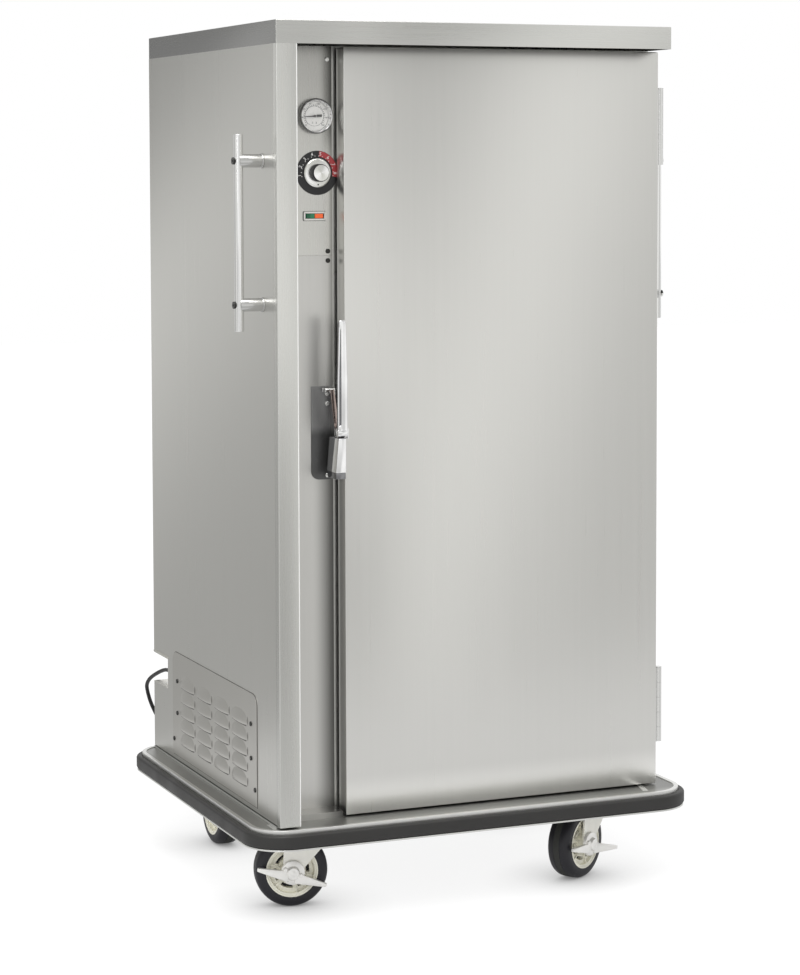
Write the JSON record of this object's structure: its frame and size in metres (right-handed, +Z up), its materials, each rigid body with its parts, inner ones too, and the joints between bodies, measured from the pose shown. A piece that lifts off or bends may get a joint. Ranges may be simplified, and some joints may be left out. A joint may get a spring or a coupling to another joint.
{
  "type": "heated banquet cabinet",
  "caption": "Insulated stainless cabinet on casters that keeps plated meals hot, with a hinged door, latch, controls, push handles and bumper.",
  "frame": {"origin": "middle of the cabinet's footprint, on the floor under the wheels", "axes": "+Z up, the door faces -Y, +X to the right as seen from the front"},
  "size_m": [0.842, 0.9155, 1.517],
  "materials": {
    "shell_steel": "fine satin, slightly warm",
    "lining_steel": "plain mill finish",
    "bright_steel": "bright satin",
    "chrome": "polished",
    "zinc_steel": "pale zinc plate, satin",
    "heater_sheath": "heat darkened",
    "bumper_rubber": "matt charcoal",
    "wheel_tread": "satin black",
    "wheel_rim": "moulded cream",
    "mineral_wool": "fibrous",
    "dial_white": "matt white with a plain scale",
    "black_plastic": "satin black",
    "cord_jacket": "smooth black jacket",
    "clear_lens": "clear",
    "green_lamp": "tinted lens",
    "red_lamp": "tinted lens"
  },
  "bodies": {
    "cabinet": {"base_deck": "zinc_steel", "bumper": "bumper_rubber", "bumper_trim": "bright_steel", "left_side_panel": "shell_steel", "right_side_panel": "shell_steel", "rear_panel": "shell_steel", "rear_service_box": "shell_steel", "top_cap": "shell_steel", "front_left_post": "shell_steel", "control_panel": "shell_steel", "recess_panel": "shell_steel", "door_frame": "shell_steel", "cavity_liner": "lining_steel", "insulation": "mineral_wool", "shelf_uprights": "lining_steel", "shelves": "lining_steel", "blower_housing": "lining_steel", "blower_motor": "zinc_steel", "heater_element": "heater_sheath", "louver_panel": "shell_steel", "thermometer_case": "chrome", "thermometer_dial": "dial_white", "thermometer_lens": "clear_lens", "thermostat_body": "zinc_steel", "thermostat_dial": "black_plastic", "indicator_bezel": "chrome", "lamp_green": "green_lamp", "lamp_red": "red_lamp", "push_handles": "bright_steel", "screws": "chrome", "hinge_frame_leaves": "bright_steel", "latch_strike": "bright_steel", "caster_plates": "zinc_steel", "rear_forks": "zinc_steel", "cord_gland": "black_plastic", "cord": "cord_jacket", "cord_coil": "cord_jacket", "plug": "black_plastic"},
    "door": {"door_skin": "shell_steel", "door_liner": "lining_steel", "door_insulation": "mineral_wool", "door_gasket": "bumper_rubber", "hinge_door_leaves": "bright_steel", "latch_body": "chrome"},
    "latch_lever": {"latch_lever": "chrome"},
    "thermostat_knob": {"thermostat_knob": "black_plastic"},
    "thermometer_needle": {"thermometer_needle": "black_plastic"},
    "blower_wheel": {"blower_wheel": "zinc_steel"},
    "front_left_wheel": {"front_left_tyre": "wheel_tread", "front_left_rim": "wheel_rim"},
    "front_right_wheel": {"front_right_tyre": "wheel_tread", "front_right_rim": "wheel_rim"},
    "rear_left_wheel": {"rear_left_tyre": "wheel_tread", "rear_left_rim": "wheel_rim"},
    "rear_right_wheel": {"rear_right_tyre": "wheel_tread", "rear_right_rim": "wheel_rim"},
    "front_left_caster": {"front_left_fork": "zinc_steel"},
    "front_left_pedal": {"front_left_brake_pedal": "zinc_steel"},
    "front_right_caster": {"front_right_fork": "zinc_steel"},
    "front_right_pedal": {"front_right_brake_pedal": "zinc_steel"}
  },
  "joints": [
    {"name": "door_hinge", "type": "hinge", "parent": "cabinet", "child": "door", "pos_m": [0.3765, -0.294, 0.825], "axis": [0, 0, 1], "range_deg": [0, 220]},
    {"name": "latch_pivot", "type": "hinge", "parent": "door", "child": "latch_lever", "pos_m": [-0.2445, -0.322, 0.826], "axis": [1, 0, 0], "range_deg": [0, 35], "stiffness_Nm_per_rad": 1.5, "springref_deg": -11.46},
    {"name": "thermostat_turn", "type": "hinge", "parent": "cabinet", "child": "thermostat_knob", "pos_m": [-0.2635, -0.262, 1.264], "axis": [0, 1, 0], "range_deg": [0, 300]},
    {"name": "thermometer_turn", "type": "hinge", "parent": "cabinet", "child": "thermometer_needle", "pos_m": [-0.2678, -0.262, 1.36], "axis": [0, 1, 0], "range_deg": [-45, 225], "stiffness_Nm_per_rad": 0.0005},
    {"name": "blower_spin", "type": "hinge", "parent": "cabinet", "child": "blower_wheel", "pos_m": [-0.2225, -0.02, 0.287], "axis": [1, 0, 0], "continuous": true},
    {"name": "front_left_swivel", "type": "hinge", "parent": "cabinet", "child": "front_left_caster", "pos_m": [-0.264, -0.2375, 0.139], "axis": [0, 0, 1], "continuous": true},
    {"name": "front_left_roll", "type": "hinge", "parent": "front_left_caster", "child": "front_left_wheel", "pos_m": [-0.3059, -0.22783, 0.0635], "axis": [0.225, 0.9744, 0], "continuous": true},
    {"name": "front_left_brake", "type": "hinge", "parent": "front_left_caster", "child": "front_left_pedal", "pos_m": [-0.3059, -0.22783, 0.0635], "axis": [0.225, 0.9744, 0], "range_deg": [-30, 0]},
    {"name": "front_right_swivel", "type": "hinge", "parent": "cabinet", "child": "front_right_caster", "pos_m": [0.264, -0.2375, 0.139], "axis": [0, 0, 1], "continuous": true},
    {"name": "front_right_roll", "type": "hinge", "parent": "front_right_caster", "child": "front_right_wheel", "pos_m": [0.22722, -0.25978, 0.0635], "axis": [-0.518, 0.8554, 0], "continuous": true},
    {"name": "front_right_brake", "type": "hinge", "parent": "front_right_caster", "child": "front_right_pedal", "pos_m": [0.22722, -0.25978, 0.0635], "axis": [-0.518, 0.8554, 0], "range_deg": [-30, 0]},
    {"name": "rear_left_roll", "type": "hinge", "parent": "cabinet", "child": "rear_left_wheel", "pos_m": [-0.279, 0.216, 0.0635], "axis": [1, 0, 0], "continuous": true},
    {"name": "rear_right_roll", "type": "hinge", "parent": "cabinet", "child": "rear_right_wheel", "pos_m": [0.279, 0.216, 0.0635], "axis": [1, 0, 0], "continuous": true}
  ]
}
